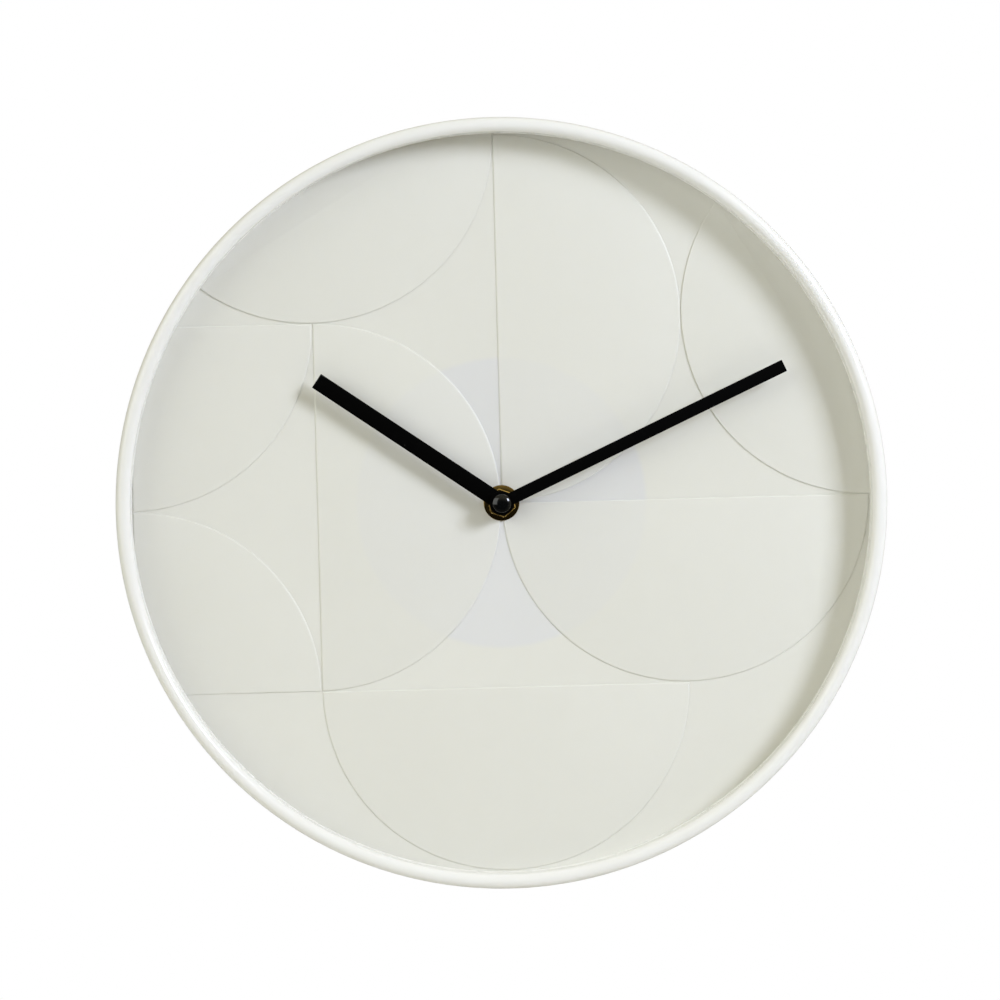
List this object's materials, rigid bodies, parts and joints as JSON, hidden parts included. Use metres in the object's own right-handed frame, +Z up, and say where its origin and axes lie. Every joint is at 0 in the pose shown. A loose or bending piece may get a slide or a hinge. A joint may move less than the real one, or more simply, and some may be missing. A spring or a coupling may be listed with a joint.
{
  "type": "wall clock",
  "caption": "Round battery wall clock: deep full-round lip, cream dial with raised round panels, plain black bar hands, brass centre nut and quartz movement.",
  "frame": {"origin": "the point on the wall plane where the hook bears on the top of the keyhole slot", "axes": "+Z up, +Y into the wall, the dial faces -Y, the hands turn about +Y"},
  "size_m": [0.3, 0.04, 0.3],
  "materials": {
    "case_plastic": "satin moulded",
    "dial_plastic": "fine matt moulded",
    "back_plastic": "matt moulded",
    "hand_black": "matt black stove paint on sheet",
    "cap_black": "high gloss",
    "brass": "turned, lightly tarnished",
    "steel": "zinc plated",
    "rubber": "matt",
    "foam": "closed-cell foam tape",
    "movement_plastic": "spark-eroded moulded",
    "cell_sleeve": "gloss sleeve",
    "board": "solder mask",
    "copper": "enamelled wire",
    "nylon": "natural nylon"
  },
  "bodies": {
    "root": {"case_ring": "case_plastic", "dial_plate": "dial_plastic", "dial_foam_ring": "foam", "back_pan": "back_plastic", "pan_screw_1": "steel", "pan_screw_2": "steel", "pan_screw_3": "steel", "pan_screw_4": "steel", "pan_screw_5": "steel", "pan_screw_6": "steel", "threaded_bush": "brass", "rubber_washer": "rubber", "brass_washer": "brass", "hex_nut": "brass", "front_housing": "movement_plastic", "rear_cover": "movement_plastic", "battery": "cell_sleeve", "positive_contact": "steel", "negative_contact": "steel", "stator": "steel", "coil_core": "steel", "coil_bobbin": "nylon", "coil_winding": "copper", "circuit_board": "board", "quartz_crystal": "steel"},
    "minute": {"minute_hand": "hand_black", "centre_cap": "cap_black", "cannon_arbor": "brass"},
    "hour": {"hour_hand": "hand_black", "hour_wheel": "nylon"},
    "motion_work": {"motion_work_wheel": "nylon"},
    "setting": {"setting_knob": "nylon"},
    "centre": {"centre_wheel": "nylon"},
    "third": {"third_wheel": "nylon"},
    "seconds": {"seconds_wheel": "nylon"},
    "intermediate": {"intermediate_wheel": "nylon"},
    "rotor": {"rotor_pinion": "nylon", "rotor_magnet": "steel"}
  },
  "joints": [
    {"name": "minute_turn", "type": "hinge", "parent": "root", "child": "minute", "pos_m": [0, -0.015, -0.105], "axis": [0, 1, 0], "continuous": true},
    {"name": "hour_turn", "type": "hinge", "parent": "root", "child": "hour", "pos_m": [0, -0.015, -0.105], "axis": [0, 1, 0], "continuous": true},
    {"name": "motion_work_turn", "type": "hinge", "parent": "root", "child": "motion_work", "pos_m": [0.006, -0.015, -0.105], "axis": [0, 1, 0], "continuous": true},
    {"name": "setting_turn", "type": "hinge", "parent": "root", "child": "setting", "pos_m": [0.012, -0.015, -0.105], "axis": [0, 1, 0], "continuous": true},
    {"name": "centre_turn", "type": "hinge", "parent": "root", "child": "centre", "pos_m": [0, -0.015, -0.105], "axis": [0, 1, 0], "continuous": true},
    {"name": "third_turn", "type": "hinge", "parent": "root", "child": "third", "pos_m": [-0.009, -0.015, -0.105], "axis": [0, 1, 0], "continuous": true},
    {"name": "seconds_turn", "type": "hinge", "parent": "root", "child": "seconds", "pos_m": [0, -0.015, -0.105], "axis": [0, 1, 0], "continuous": true},
    {"name": "intermediate_turn", "type": "hinge", "parent": "root", "child": "intermediate", "pos_m": [0.0036, -0.015, -0.09877], "axis": [0, 1, 0], "continuous": true},
    {"name": "rotor_turn", "type": "hinge", "parent": "root", "child": "rotor", "pos_m": [0.0064, -0.015, -0.09391], "axis": [0, 1, 0], "continuous": true}
  ],
  "couplings": [
    {"joint": "hour_turn", "follows": "minute_turn", "ratio": 0.083333},
    {"joint": "motion_work_turn", "follows": "minute_turn", "ratio": -0.33333},
    {"joint": "setting_turn", "follows": "minute_turn", "ratio": 1},
    {"joint": "centre_turn", "follows": "minute_turn", "ratio": 1},
    {"joint": "third_turn", "follows": "minute_turn", "ratio": -8},
    {"joint": "seconds_turn", "follows": "minute_turn", "ratio": 60},
    {"joint": "intermediate_turn", "follows": "minute_turn", "ratio": -300},
    {"joint": "rotor_turn", "follows": "minute_turn", "ratio": 1800}
  ]
}
